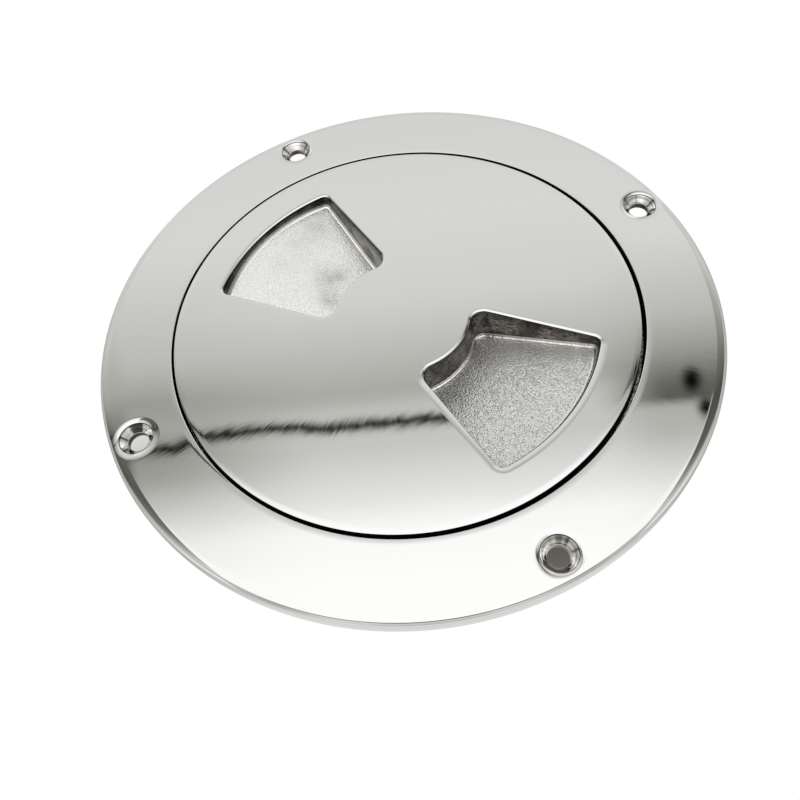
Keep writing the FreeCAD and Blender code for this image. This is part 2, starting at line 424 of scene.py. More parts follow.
def polishedSteel(name, p, finish):
    material, tree, shader = newMaterial(name)
    coords = tree.nodes.new("ShaderNodeTexCoord")
    group = tree.nodes.new("ShaderNodeGroup")
    group.node_tree = buffed
    group.inputs["Wave Scale"].default_value = finish["waveScale"]
    group.inputs["Wave Height"].default_value = finish["waveHeight"]
    group.inputs["Streak Height"].default_value = p["streakHeight"]
    group.inputs["Roll Start"].default_value = finish["rollStart"]
    group.inputs["Roll Slope"].default_value = finish["rollSlope"]
    group.inputs["Lip Reach"].default_value = finish["lipReach"]
    group.inputs["Lip Slope"].default_value = finish["lipSlope"]
    tree.links.new(coords.outputs["Object"], group.inputs["Vector"])
    least, most = p["roughness"] * p["leastRough"], p["roughness"] * p["mostRough"]
    rough = ramp(tree, group.outputs["Streaks"], [(0.35, (least,)), (0.7, (most,))])
    tree.links.new(rough.outputs["Color"], shader.inputs["Roughness"])
    shader.inputs["Base Color"].default_value = p["colour"]
    shader.inputs["Metallic"].default_value = 1.0
    tree.links.new(group.outputs["Normal"], shader.inputs["Normal"])
    return material


# Sand-cast steel of the pockets and the hidden side: an embossed grain with painted shading on it,
# smudges, and painted shade in a zone just below the lid's top, whose place in height is shadeFrom
# to shadeTo in mm. Between two places in mm of Y the grain's relief and its painted shading fade
# towards the far pocket, and the share given is how much of them goes there.

castShape = {"step": 0.35, "tone": 0.92, "grainFadeFrom": -5.0, "grainFadeTo": 5.0, "grainFadeShare": 0.6,
             "smudgeScale": 110.0, "smudged": 0.42, "clear": 0.54, "shadeFrom": 0.0, "shadeTo": 3.0}
castFloor = {"colour": (1.0, 1.0, 0.99), "dark": (0.46, 0.455, 0.445), "grainSize": 2300.0, "relief": 2.5,
             "paintedGrainShading": 9.0, "stretch": 1.0, "smudge": 0.02, "roughness": 0.26, "metal": 0.85, "paintedTopShade": 1.0,
             "soilAndShadeSpots": ((-21.1, 22.4, 3.6, 0.50), (-16.6, 23.9, 3.0, 0.45), (-20.2, 15.7, 3.4, 0.50),
                        (-21.5, 41.5, 5.0, 0.36), (-33.5, 29.0, 3.0, 0.2), (-28.0, 35.5, 3.0, 0.2),
                        (19.5, -11.5, 5.0, 0.35), (9.5, -21.5, 5.0, 0.30))}
# The walls are the same cast steel as the floor painted much darker: painted shade of walls that mirror the
# dark studio
castWall = {"colour": (0.32, 0.29, 0.26), "dark": (0.03, 0.025, 0.021), "grainSize": 600.0, "relief": 2.2,
            "paintedGrainShading": 4.5, "stretch": 2.6, "smudge": 0.65, "roughness": 0.28, "metal": 1.0, "paintedTopShade": 0.45,
             "soilAndShadeSpots": ()}
castUnder = {"colour": (0.60, 0.595, 0.575), "dark": (0.36, 0.355, 0.34), "grainSize": 900.0, "relief": 1.5,
             "paintedGrainShading": 2.0, "stretch": 1.0, "smudge": 0.3, "roughness": 0.38, "metal": 1.0, "paintedTopShade": 1.0,
             "soilAndShadeSpots": ()}
castEdge = {"colour": (1.0, 0.99, 0.97), "dark": (0.62, 0.61, 0.60), "grainSize": 1500.0, "relief": 0.5,
            "paintedGrainShading": 1.5, "stretch": 1.0, "smudge": 0.1, "roughness": 0.22, "metal": 1.0, "paintedTopShade": 1.0,
             "soilAndShadeSpots": ()}
# Painted shade: near-black steel for the gap's walls and the steep lower parts of lips and roundings
paintedGapShade = {"colour": (0.012, 0.012, 0.012), "dark": (0.005, 0.005, 0.005), "grain": 900.0, "roughness": 0.6}
castInputs = {"Grain Size": "grainSize", "Relief": "relief", "Painted Grain Shading": "paintedGrainShading", "Stretch": "stretch",
              "Smudge": "smudge", "Painted Top Shade": "paintedTopShade"}


def castGroup(c):
    # rise = grain at the place + step along each axis - grain at the place, less the share
    # that fades towards the far pocket. The normal leans back by relief * rise, and
    # the tone = tone of flat steel - painted grain shading * rise along +Y - soil and shade spots.
    step = c["step"]
    tree = bpy.data.node_groups.new("castSurface", "ShaderNodeTree")
    for name in (*castInputs, "Soil And Shade"):
        tree.interface.new_socket(name=name, in_out="INPUT", socket_type="NodeSocketFloat")
    for name in ("Colour", "Dark"):
        tree.interface.new_socket(name=name, in_out="INPUT", socket_type="NodeSocketColor")
    tree.interface.new_socket(name="Vector", in_out="INPUT", socket_type="NodeSocketVector")
    tree.interface.new_socket(name="Colour", in_out="OUTPUT", socket_type="NodeSocketColor")
    tree.interface.new_socket(name="Normal", in_out="OUTPUT", socket_type="NodeSocketVector")
    start = tree.nodes.new("NodeGroupInput")
    end = tree.nodes.new("NodeGroupOutput")
    # The place in grains, stretched or squashed in height
    squash = tree.nodes.new("ShaderNodeCombineXYZ")
    tree.links.new(start.outputs["Grain Size"], squash.inputs["X"])
    tree.links.new(start.outputs["Grain Size"], squash.inputs["Y"])
    high = times(tree, start.outputs["Grain Size"], start.outputs["Stretch"])
    tree.links.new(high, squash.inputs["Z"])
    place = addNode(tree, "ShaderNodeVectorMath", start.outputs["Vector"], squash.outputs["Vector"],
                    operation="MULTIPLY")

    def grainAt(offset):
        moved = addNode(tree, "ShaderNodeVectorMath", operation="ADD")
        moved.inputs[1].default_value = offset
        tree.links.new(place.outputs["Vector"], moved.inputs[0])
        node = addNode(tree, "ShaderNodeTexNoise", Scale=1.0, Detail=1.5, Roughness=0.6,
                       Vector=moved.outputs["Vector"])
        return node.outputs["Fac"]

    grain = grainAt((0, 0, 0))
    offsets = ((step, 0, 0), (0, step, 0), (0, 0, step))
    rise = [minus(tree, grainAt(offset), grain) for offset in offsets]
    parts = addNode(tree, "ShaderNodeSeparateXYZ", Vector=start.outputs["Vector"])
    faded = addNode(tree, "ShaderNodeMapRange", interpolation_type="SMOOTHSTEP")
    faded.inputs["From Min"].default_value = c["grainFadeFrom"] * mm
    faded.inputs["From Max"].default_value = c["grainFadeTo"] * mm
    tree.links.new(parts.outputs["Y"], faded.inputs["Value"])
    kept = minus(tree, 1.0, times(tree, faded.outputs["Result"], c["grainFadeShare"]))
    rise = [times(tree, value, kept) for value in rise]
    lean = tree.nodes.new("ShaderNodeCombineXYZ")
    for axis, value in zip("XYZ", rise):
        tree.links.new(times(tree, value, start.outputs["Relief"]), lean.inputs[axis])
    toWorld = addNode(tree, "ShaderNodeVectorTransform", vector_type="VECTOR",
                      convert_from="OBJECT", convert_to="WORLD")
    tree.links.new(lean.outputs["Vector"], toWorld.inputs["Vector"])
    surface = tree.nodes.new("ShaderNodeNewGeometry")
    leaning = addNode(tree, "ShaderNodeVectorMath", surface.outputs["Normal"], toWorld.outputs["Vector"],
                      operation="SUBTRACT")
    normal = addNode(tree, "ShaderNodeVectorMath", leaning.outputs["Vector"], operation="NORMALIZE")
    # The tone paints each grain lit on one side and shaded on the other: painted highlight and shade
    tone = minus(tree, c["tone"], times(tree, rise[1], start.outputs["Painted Grain Shading"]))
    tone = minus(tree, tone, start.outputs["Soil And Shade"])
    tint = addNode(tree, "ShaderNodeMix", data_type="RGBA", clamp_factor=True, Factor=tone,
                   A=start.outputs["Dark"], B=start.outputs["Colour"])
    # Smudges darken broad patches, and painted shade darkens the zone just below the top
    smudge = addNode(tree, "ShaderNodeTexNoise", Scale=c["smudgeScale"], Detail=2.0,
                     Vector=start.outputs["Vector"])
    patch = ramp(tree, smudge.outputs["Fac"], [(c["smudged"], (1.0,)), (c["clear"], (0.0,))])
    clean = minus(tree, 1.0, times(tree, patch.outputs["Color"], start.outputs["Smudge"]))
    up = addNode(tree, "ShaderNodeMapRange", interpolation_type="SMOOTHSTEP")
    up.inputs["From Min"].default_value = c["shadeFrom"] * mm
    up.inputs["From Max"].default_value = c["shadeTo"] * mm
    up.inputs["To Min"].default_value = 1.0
    tree.links.new(parts.outputs["Z"], up.inputs["Value"])
    tree.links.new(start.outputs["Painted Top Shade"], up.inputs["To Max"])
    shade = addNode(tree, "ShaderNodeVectorMath", tint.outputs["Result"], operation="SCALE")
    tree.links.new(times(tree, clean, up.outputs["Result"]), shade.inputs["Scale"])
    tree.links.new(shade.outputs["Vector"], end.inputs["Colour"])
    tree.links.new(normal.outputs["Vector"], end.inputs["Normal"])
    return tree


castSurface = castGroup(castShape)


def castSteel(name, c):
    material, tree, shader = newMaterial(name)
    coords = tree.nodes.new("ShaderNodeTexCoord")
    group = tree.nodes.new("ShaderNodeGroup")
    group.node_tree = castSurface
    for socket, key in castInputs.items():
        group.inputs[socket].default_value = c[key]
    group.inputs["Colour"].default_value = (*c["colour"], 1)
    group.inputs["Dark"].default_value = (*c["dark"], 1)
    tree.links.new(coords.outputs["Object"], group.inputs["Vector"])
    # Dark spots at named places of the floor, soil in the far pocket and painted shade at the near
    # pocket's deep end: the sum of amount * e^-(distance / radius)^2
    flat = addNode(tree, "ShaderNodeVectorMath", operation="MULTIPLY")
    flat.inputs[1].default_value = (1, 1, 0)
    tree.links.new(coords.outputs["Object"], flat.inputs[0])
    soilAndShade = None
    for x, y, radius, amount in c["soilAndShadeSpots"]:
        away = addNode(tree, "ShaderNodeVectorMath", flat.outputs["Vector"], operation="DISTANCE")
        away.inputs[1].default_value = (x * mm, y * mm, 0)
        share = power(tree, over(tree, away.outputs["Value"], radius * mm), 2.0)
        spot = times(tree, mathNode(tree, "EXPONENT", times(tree, share, -1.0)), amount)
        soilAndShade = spot if soilAndShade is None else plus(tree, soilAndShade, spot)
    if soilAndShade is not None:
        cloud = addNode(tree, "ShaderNodeTexNoise", Scale=420.0, Detail=3.0, Vector=coords.outputs["Object"])
        soilAndShade = times(tree, soilAndShade, times(tree, cloud.outputs["Fac"], 2.0))
        tree.links.new(soilAndShade, group.inputs["Soil And Shade"])
    shader.inputs["Metallic"].default_value = c["metal"]
    shader.inputs["Roughness"].default_value = c["roughness"]
    tree.links.new(group.outputs["Colour"], shader.inputs["Base Color"])
    tree.links.new(group.outputs["Normal"], shader.inputs["Normal"])
    return material


def paintedShadeSteel(name, c):
    # Near-black steel with no shine at a glancing angle: painted shade for faces that lie in shadow
    material, tree, shader = newMaterial(name)
    coords = tree.nodes.new("ShaderNodeTexCoord")
    grain = addNode(tree, "ShaderNodeTexNoise", Scale=c["grain"], Detail=2.0, Vector=coords.outputs["Object"])
    shade = ramp(tree, grain.outputs["Fac"], [(0.3, c["dark"]), (0.7, c["colour"])])
    tree.links.new(shade.outputs["Color"], shader.inputs["Base Color"])
    shader.inputs["Roughness"].default_value = c["roughness"]
    shader.inputs["Specular IOR Level"].default_value = 0.0
    return material


# Turned steel of the countersinks and bores: fine rings that follow the height. The bores' steel
# is painted about five times darker: painted shade inside the holes.

ringNoise = {"across": 40.0, "darkTo": 0.38, "brightFrom": 0.50}
turnedSteel = {"colour": (0.92, 0.91, 0.90), "dark": (0.50, 0.48, 0.46), "rings": 1700.0,
               "ringHeight": 0.00003, "roughness": 0.07}
shadedBoreSteel = {"colour": (0.20, 0.17, 0.15), "dark": (0.06, 0.05, 0.045), "rings": 2300.0,
             "ringHeight": 0.00002, "roughness": 0.15}


def machinedSteel(name, c):
    material, tree, shader = newMaterial(name)
    coords = tree.nodes.new("ShaderNodeTexCoord")
    squash = addNode(tree, "ShaderNodeVectorMath", operation="MULTIPLY")
    squash.inputs[1].default_value = (ringNoise["across"], ringNoise["across"], c["rings"])
    tree.links.new(coords.outputs["Object"], squash.inputs[0])
    rings = addNode(tree, "ShaderNodeTexNoise", Scale=1.0, Detail=2.0, Vector=squash.outputs["Vector"])
    stops = [(ringNoise["darkTo"], c["dark"]), (ringNoise["brightFrom"], c["colour"])]
    tint = ramp(tree, rings.outputs["Fac"], stops)
    bump = addNode(tree, "ShaderNodeBump", Strength=1.0, Distance=c["ringHeight"],
                   Height=rings.outputs["Fac"])
    shader.inputs["Metallic"].default_value = 1.0
    shader.inputs["Roughness"].default_value = c["roughness"]
    tree.links.new(tint.outputs["Color"], shader.inputs["Base Color"])
    tree.links.new(bump.outputs["Normal"], shader.inputs["Normal"])
    return material


def blackRubber():
    material, tree, shader = newMaterial("blackRubber")
    coords = tree.nodes.new("ShaderNodeTexCoord")
    grain = addNode(tree, "ShaderNodeTexNoise", Scale=1500.0, Detail=3.0, Vector=coords.outputs["Object"])
    bump = addNode(tree, "ShaderNodeBump", Strength=0.4, Distance=0.00004, Height=grain.outputs["Fac"])
    shade = ramp(tree, grain.outputs["Fac"], [(0.3, (0.014, 0.014, 0.015)), (0.7, (0.028, 0.027, 0.026))])
    tree.links.new(shade.outputs["Color"], shader.inputs["Base Color"])
    shader.inputs["Roughness"].default_value = 0.55
    tree.links.new(bump.outputs["Normal"], shader.inputs["Normal"])
    return material


def plainSteel(name, p):
    # The narrow roundings: polish without waves or streaks, in patches a little duller
    material, tree, shader = newMaterial(name)
    coords = tree.nodes.new("ShaderNodeTexCoord")
    patches = addNode(tree, "ShaderNodeTexNoise", Scale=90.0, Detail=2.0, Vector=coords.outputs["Object"])
    rough = ramp(tree, patches.outputs["Fac"], [(0.35, (p["roughness"],)), (0.7, (p["roughness"] * 2.5,))])
    tree.links.new(rough.outputs["Color"], shader.inputs["Roughness"])
    shader.inputs["Base Color"].default_value = p["colour"]
    shader.inputs["Metallic"].default_value = 1.0
    return material


polishedRing = polishedSteel("polishedRing", polish, ringFinish)
polishedLid = polishedSteel("polishedLid", polish, lidFinish)
# Material numbers of a piece: 0 polished, 1 pocket floor, 2 pocket wall painted darker as shade,
# 3 hidden side, 4 foot of the pocket wall, 5 near-black painted shade on the walls of the gap and the
# steep lower parts of the lips and roundings, also a thin ring at the top of each countersink,
# 6 countersink, 7 bore painted darker as shade, 8 narrow roundings
castSteels = [castSteel("castSteelFloor", castFloor), castSteel("castSteelWall", castWall),
              castSteel("castSteelUnder", castUnder), castSteel("castSteelEdge", castEdge),
              paintedShadeSteel("paintedGapShade", paintedGapShade), machinedSteel("turnedSteel", turnedSteel),
              machinedSteel("shadedBoreSteel", shadedBoreSteel), plainSteel("edgePolish", polish)]
rubber = blackRubber()
print("materials made")


# Flange ring

ring = {"segments": 384, "mouthRound": 0.25, "mouthRollWidth": 1.5, "mouthRollSlope": 0.05,
        "edgeWidth": 1.15, "edgeBend": 0.35, "edgeSlope": 0.95, "edgeRound": 1.6,
        "collarRadius": 66.5, "holeCircle": 75.5, "holeAngle": 20.3, "holes": 4, "holeSegments": 64,
        "holeRadius": 2.65, "headRadius": 4.6, "lipRound": 0.3, "lipRollWidth": 0.5, "lipRollSlope": 0.2,
        "coneLine": 0.16, "boreRound": 0.3}


def plateWithHoles(inner, outer, level, hole, upward, material, r):
    # One flat face from each hole to the next, between two circles
    patches = []
    step = 360 / r["holes"]
    count = r["segments"] // r["holes"]
    half = r["holeSegments"] // 2
    for k in range(r["holes"]):
        a = r["holeAngle"] + k * step
        sweep = np.radians(a + np.linspace(0, step, count + 1))
        edge = np.stack([np.cos(sweep), np.sin(sweep)], axis=-1)
        sides = []
        for angle, way in ((a, 1), (a + step, -1)):
            # Half of the hole's circle on this side, from its inner point to its outer one
            axis = math.radians(angle)
            t = axis + math.pi - way * np.linspace(0, math.pi, half + 1)
            middle = r["holeCircle"] * np.array([math.cos(axis), math.sin(axis)])
            sides.append(middle + hole * np.stack([np.cos(t), np.sin(t)], axis=-1))
        outline = np.concatenate([inner * edge, sides[1], (outer * edge)[::-1], sides[0][::-1]])
        outline = np.concatenate([outline, np.full((len(outline), 1), level)], axis=1)
        patches.append(flatPatch(outline, (0, 0, 1 if upward else -1), material))
    return patches


def flangeRing(r):
    angles = r["holeAngle"] + np.arange(r["segments"]) * 360 / r["segments"]
    edgeStart = flangeRadius - r["edgeWidth"]
    mouthDrop = r["mouthRollSlope"] * r["mouthRollWidth"] / 2
    mouthTop = topLevel - mouthDrop
    mouthEdge = mouthRadius + r["mouthRound"]
    flatIn = mouthEdge + r["mouthRollWidth"]
    bottom = 0.0
    # The outer edge bends from flat into a slope and ends in a rounding
    bendDrop = r["edgeSlope"] * r["edgeBend"] / 2
    edgeAngle = math.atan(r["edgeSlope"])
    roundStart = flangeRadius - r["edgeRound"] * (1 - math.sin(edgeAngle))
    slopeEnd = topLevel - bendDrop - r["edgeSlope"] * (roundStart - edgeStart - r["edgeBend"])
    roundLevel = slopeEnd - r["edgeRound"] * math.cos(edgeAngle)
    profiles = [
        (rollOff((flatIn, topLevel), r["mouthRollWidth"], r["mouthRollSlope"], 4, -1), 0),
        (oval((mouthEdge, mouthTop - r["mouthRound"]), r["mouthRound"], r["mouthRound"], 90, 140, 5), 8),
        # The steep part of the mouth's rounding and the mouth's wall are near-black painted shade
        (oval((mouthEdge, mouthTop - r["mouthRound"]), r["mouthRound"], r["mouthRound"], 140, 180, 4), 5),
        (straight((mouthRadius, mouthTop - r["mouthRound"]), (mouthRadius, ledgeLevel), -1), 5),
        (straight((mouthRadius, ledgeLevel), (ringRootRadius, ledgeLevel), -1), 3),
        (straight((ringRootRadius, ledgeLevel), (ringRootRadius, collarEnd), -1), 3),
        (straight((ringRootRadius, collarEnd), (r["collarRadius"], collarEnd), -1), 3),
        (straight((r["collarRadius"], collarEnd), (r["collarRadius"], bottom), -1), 3),
        (straight((flangeRadius, bottom), (flangeRadius, roundLevel), -1), 0),
        (oval((flangeRadius - r["edgeRound"], roundLevel), r["edgeRound"], r["edgeRound"], 0,
              90 - math.degrees(edgeAngle), 8), 8),
        (straight((roundStart, slopeEnd), (edgeStart + r["edgeBend"], topLevel - bendDrop), -1), 0),
        (rollOff((edgeStart, topLevel), r["edgeBend"], r["edgeSlope"], 5), 0),
    ]
    patches = [turned(profile, angles, material) for profile, material in profiles]
    # Screw holes: softened mouth, a thin near-black ring where the countersink starts, countersink at
    # a right angle and bore
    lipDrop = r["lipRollSlope"] * r["lipRollWidth"] / 2
    flatHole = r["headRadius"] + r["lipRollWidth"]
    slopeAngle = math.degrees(math.atan(r["lipRollSlope"]))
    start = 90 - slopeAngle
    headLevel = topLevel - lipDrop
    holeAngles = np.arange(r["holeSegments"]) * 360 / r["holeSegments"]
    lip = r["lipRound"]
    lipCentre = (r["headRadius"] + lip * math.sin(math.radians(slopeAngle)),
                 headLevel - lip * math.cos(math.radians(slopeAngle)))
    coneStart = (lipCentre[0] - lip * math.sqrt(0.5), lipCentre[1] + lip * math.sqrt(0.5))
    coneTop = (coneStart[0] - r["coneLine"], coneStart[1] - r["coneLine"])
    # The bore's rounded upper edge meets the cone where both slope at half a right angle
    bore = r["boreRound"]
    footRadius = r["holeRadius"] + bore * (1 - math.sqrt(0.5))
    coneFoot = (footRadius, coneStart[1] - (coneStart[0] - footRadius))
    boreCentre = (r["holeRadius"] + bore, coneFoot[1] - bore * math.sqrt(0.5))
    for k in range(r["holes"]):
        angle = r["holeAngle"] + k * 360 / r["holes"]
        a = math.radians(angle)
        middle = (r["holeCircle"] * math.cos(a), r["holeCircle"] * math.sin(a), 0)
        for profile, material in (
            (rollOff((flatHole, topLevel), r["lipRollWidth"], r["lipRollSlope"], 5, -1), 0),
            (oval(lipCentre, lip, lip, 90 + slopeAngle, 135, 4), 8),
            (straight(coneStart, coneTop, -1), 5),
            (straight(coneTop, coneFoot, -1), 6),
            (oval(boreCentre, bore, bore, 135, 180, 5), 8),
            # The bore's dark steel is painted shade
            (straight((r["holeRadius"], boreCentre[1]), (r["holeRadius"], bottom), -1), 7),
        ):
            patches.append(turned(profile, holeAngles + angle, material, middle))
    patches += plateWithHoles(flatIn, edgeStart, topLevel, flatHole, True, 0, r)
    patches += plateWithHoles(r["collarRadius"], flangeRadius, bottom, r["holeRadius"], False, 3, r)
    ringStart = threadMargin + collarEnd
    patches += threadPatches(ringRootRadius, ringCrestRadius, ringStart, 0.0, (0, 0, 0), 3)
    return patches


makePiece("flangeRing", flangeRing(ring), [polishedRing] + castSteels, "ring", "flange_ring")


# Lid with its two finger pockets

lid = {"segments": 384, "edgeRound": 0.25, "edgeRollWidth": 1.5, "edgeRollSlope": 0.055,
       "skirtWall": 2.9, "skirtRootChamfer": 1.2}
pocket = {"angles": (135.4, 315.4), "innerRadius": 18.4, "outerRadius": 51.9, "halfAngle": 17.75,
          "sideOffset": 7.15, "outerCorner": 2.0, "innerCorner": 3.5, "draft": 3.0, "floorFillet": 0.9,
          "steps": (14, 12, 8, 12, 8),
          "lips": {
              "crisp": {"width": 0.85, "depth": 0.4, "bend": 0.3, "ramp": 0.0, "slope": 0.10, "bright": 0.72},
              "low": {"width": 0.3, "depth": 0.35, "bend": 0.5, "ramp": 0.0, "slope": 0.06, "bright": 0.35},
              "wide": {"width": 1.0, "depth": 0.4, "bend": 0.9, "ramp": 0.0, "slope": 0.12, "bright": 0.75},
              "soft": {"width": 0.55, "depth": 0.45, "bend": 1.3, "ramp": 0.3, "slope": 0.17, "bright": 0.4}},
          "sides": (("wide", "low", "low", "crisp"), ("soft", "crisp", "crisp", "soft")),
          "shell": 2.4, "floorDepth": 13.9, "floorSlope": 0.218}


def fanOutline(inset, p):
    # Two arcs about the lid's middle, two straight sides and four round corners, moved in
    # by inset. It starts on the bisector at the outer arc. Gives points and outward normals.
    outer, inner = p["outerRadius"] - inset, p["innerRadius"] + inset
    outerCorner, innerCorner = p["outerCorner"] - inset, p["innerCorner"] - inset
    a = math.radians(p["halfAngle"])
    normal = np.array([-math.sin(a), math.cos(a)])
    along = np.array([math.cos(a), math.sin(a)])
    reach = p["sideOffset"] - inset

    def cornerCentre(radius, distance):
        across = reach - radius
        return normal * across + along * math.sqrt(distance ** 2 - across ** 2)

    far = cornerCentre(outerCorner, outer - outerCorner)
    near = cornerCentre(innerCorner, inner + innerCorner)
    farAngle, nearAngle = math.atan2(far[1], far[0]), math.atan2(near[1], near[0])
    side = math.atan2(normal[1], normal[0])

    def bend(centre, radius, start, end, steps, sign=1):
        t = np.linspace(start, end, steps + 1)
        n = np.stack([np.cos(t), np.sin(t)], axis=-1)
        return centre + radius * n, sign * n

    zero = np.zeros(2)
    steps = p["steps"]
    straightSide = np.linspace(far + normal * outerCorner, near + normal * innerCorner, steps[2] + 1)
    pieces = [
        bend(zero, outer, 0, farAngle, steps[0]),
        bend(far, outerCorner, farAngle, side, steps[1]),
        (straightSide, np.tile(normal, (steps[2] + 1, 1))),
        bend(near, innerCorner, side, nearAngle + math.pi, steps[3]),
        bend(zero, inner, nearAngle, 0, steps[4], -1),
    ]
    points = np.concatenate([pieces[0][0]] + [q[0][1:] for q in pieces[1:]])
    normals = np.concatenate([pieces[0][1]] + [q[1][1:] for q in pieces[1:]])
    mirror = np.array([1, -1])
    points = np.concatenate([points, points[-2:0:-1] * mirror])
    normals = np.concatenate([normals, normals[-2:0:-1] * mirror])
    return points, normals


def sideValues(values, p):
    # A value at each point of the outline from those of the outer arc, the side towards +v,
    # the inner arc and the side towards -v, blended smoothly round the corners
    outerArc, plusSide, innerArc, minusSide = values
    steps = p["steps"]

    def half(side):
        first, second = np.linspace(0, 1, steps[1] + 1)[1:], np.linspace(0, 1, steps[3] + 1)[1:]
        first, second = first ** 2 * (3 - 2 * first), second ** 2 * (3 - 2 * second)
        return np.concatenate([np.full(steps[0] + 1, outerArc), outerArc + (side - outerArc) * first,
                               np.full(steps[2], side), side + (innerArc - side) * second,
                               np.full(steps[4], innerArc)])

    return np.concatenate([half(plusSide), half(minusSide)[-2:0:-1]])


def draftInset(depth, p):
    return depth * math.tan(math.radians(p["draft"]))


def placed(points, angle):
    # From the pocket's own (u, v) to the lid's place in the frame
    a = math.radians(angle)
    turn = np.array([[math.cos(a), math.sin(a), 0], [-math.sin(a), math.cos(a), 0], [0, 0, 1]])
    return points @ turn


def lipSizes(k, p):
    kinds = [p["lips"][side] for side in p["sides"][k]]
    return {name: sideValues([kind[name] for kind in kinds], p) for name in kinds[0]}


def lipEdge(k, p):
    # Where the lip's soft bend meets the flat top
    points, out = fanOutline(0.0, p)
    size = lipSizes(k, p)
    return points + out * (size["width"] + size["ramp"] + size["bend"])[:, None]


def lipGrid(k, p):
    # Soft bend to a slope, a short ramp, then a quarter oval down to the drafted wall
    points, out = fanOutline(0.0, p)
    size = lipSizes(k, p)
    width, depth, slope = size["width"], size["depth"], size["slope"]
    x = np.linspace(0, 1, 6)[:, None]
    inset = np.concatenate([(x - 1) * size["bend"], size["ramp"] + 0 * x[:1]]) - size["ramp"] - width
    level = topLevel - slope * size["bend"] * x ** 2 / 2
    level = np.concatenate([level, level[-1:] - slope * size["ramp"]])
    across = np.concatenate([slope * x, slope + 0 * x[:1]])
    up = np.ones_like(across)
    turn = np.arctan(slope * width / depth)
    share = np.concatenate([np.linspace(0, 1, 8)[1:, None] * size["bright"],
                            1 + np.linspace(-1, 0, 5)[1:, None] * (1 - size["bright"])])
    t = np.pi / 2 - turn + share * (math.radians(p["draft"]) - np.pi / 2 + turn)
    inset = np.concatenate([inset, width * (np.cos(t) - np.sin(turn) - 1)])
    level = np.concatenate([level, level[-1] - depth * (np.cos(turn) - np.sin(t))])
    across = np.concatenate([across, np.cos(t) / width])
    up = np.concatenate([up, np.sin(t) / depth])
    place = points - out * inset[..., None]
    grid = np.concatenate([place, level[..., None]], axis=-1)
    normals = np.concatenate([-out * across[..., None], up[..., None]], axis=-1)
    return grid, normals / np.linalg.norm(normals, axis=-1)[..., None]


def pocketPatches(k, p):
    angle = p["angles"][k]
    patches = []
    lip, lipNormals = lipGrid(k, p)
    patches.append(gridPatch(lip[:-4], lipNormals[:-4], 0))
    # The steep lower part of the lip is near-black painted shade
    patches.append(gridPatch(lip[-5:], lipNormals[-5:], 5))
    # Wall down to the floor's fillet, which keeps its radius along the sloping floor
    start, out = fanOutline(0.0, p)
    radius = p["floorFillet"]

    def floorLevel(points):
        return topLevel - p["floorDepth"] + p["floorSlope"] * points[:, 0]

    deepInset = draftInset(p["floorDepth"], p)
    deep = fanOutline(deepInset, p)[0]
    wallRows, wallNormals = [], []
    for f in np.linspace(0, 1, 9):
        level = lip[-1, :, 2] + f * (floorLevel(deep) + radius - lip[-1, :, 2])
        share = (topLevel - level) / p["floorDepth"]
        points = lip[-1, :, :2] if f == 0 else start + share[:, None] * (deep - start)
        wallRows.append(np.column_stack([points, level]))
        wallNormals.append(np.column_stack([-out, np.full(len(points), math.sin(math.radians(p["draft"])))]))
    patches.append(gridPatch(np.array(wallRows), np.array(wallNormals), 2))
    foot = wallRows[-1]
    filletRows, filletNormals = [], []
    for t in np.radians(np.linspace(0, 90, 7)):
        points = foot[:, :2] - out * radius * (1 - math.cos(t))
        drop = radius * (1 - math.sin(t))
        filletRows.append(np.column_stack([points, floorLevel(points) + drop]))
        slope = np.column_stack([np.full(len(points), -p["floorSlope"]), np.zeros(len(points)),
                                 np.ones(len(points))])
        filletNormals.append(np.column_stack([-out, 0 * drop + np.zeros(len(out))]) * math.cos(t)
                             + slope * math.sin(t))
    patches.append(gridPatch(np.array(filletRows), np.array(filletNormals), 4))
    floor = filletRows[-1]
    patches.append(flatPatch(floor, np.array([-p["floorSlope"], 0, 1]), 1))
    # Body below the plate
    depth = topLevel - plateUnder
    high, highOut = fanOutline(draftInset(depth, p) - p["shell"], p)
    drop = p["shell"] * math.hypot(1, p["floorSlope"])
    low = fanOutline(draftInset(p["floorDepth"], p) - p["shell"], p)[0]
    lowLevel = floorLevel(low) - drop
    body = np.array([np.column_stack([high, np.full(len(high), plateUnder)]),
                     np.column_stack([low, lowLevel])])
    bodyOut = np.column_stack([highOut, np.full(len(high), -math.sin(math.radians(p["draft"])))])
    patches.append(gridPatch(body, np.array([bodyOut, bodyOut]), 3))
    patches.append(flatPatch(body[1], np.array([p["floorSlope"], 0, -1]), 3))
    for patch in patches:
        patch["points"] = placed(patch["points"], angle) + lidCentre
        patch["normals"] = placed(patch["normals"], angle)
        patch["normals"] = patch["normals"] / np.linalg.norm(patch["normals"], axis=-1)[..., None]
    return patches


def plateWithPockets(radius, level, outlines, upward, material, l, p):
    # Two flat faces, one each side of the line through both pockets
    patches = []
    count = l["segments"] // 2
    for side in (1, -1):
        t = np.radians(np.linspace(0, 180, count + 1)) * side
        arc = radius * np.stack([np.cos(t), np.sin(t)], axis=-1)
        # This side's half of each outline, from its outer arc to its inner one
        halves = []
        for k, way in ((0, 1), (1, -1)):
            outline = outlines[k]
            half = np.concatenate([outline, outline[:1]])[::side * way][:len(outline) // 2 + 1]
            halves.append(half * way)
        points = np.concatenate([arc, halves[1], halves[0][::-1]])
        points = np.column_stack([points, np.full(len(points), level)])
        points = placed(points, p["angles"][0]) + lidCentre
        patches.append(flatPatch(points, (0, 0, 1 if upward else -1), material))
    return patches


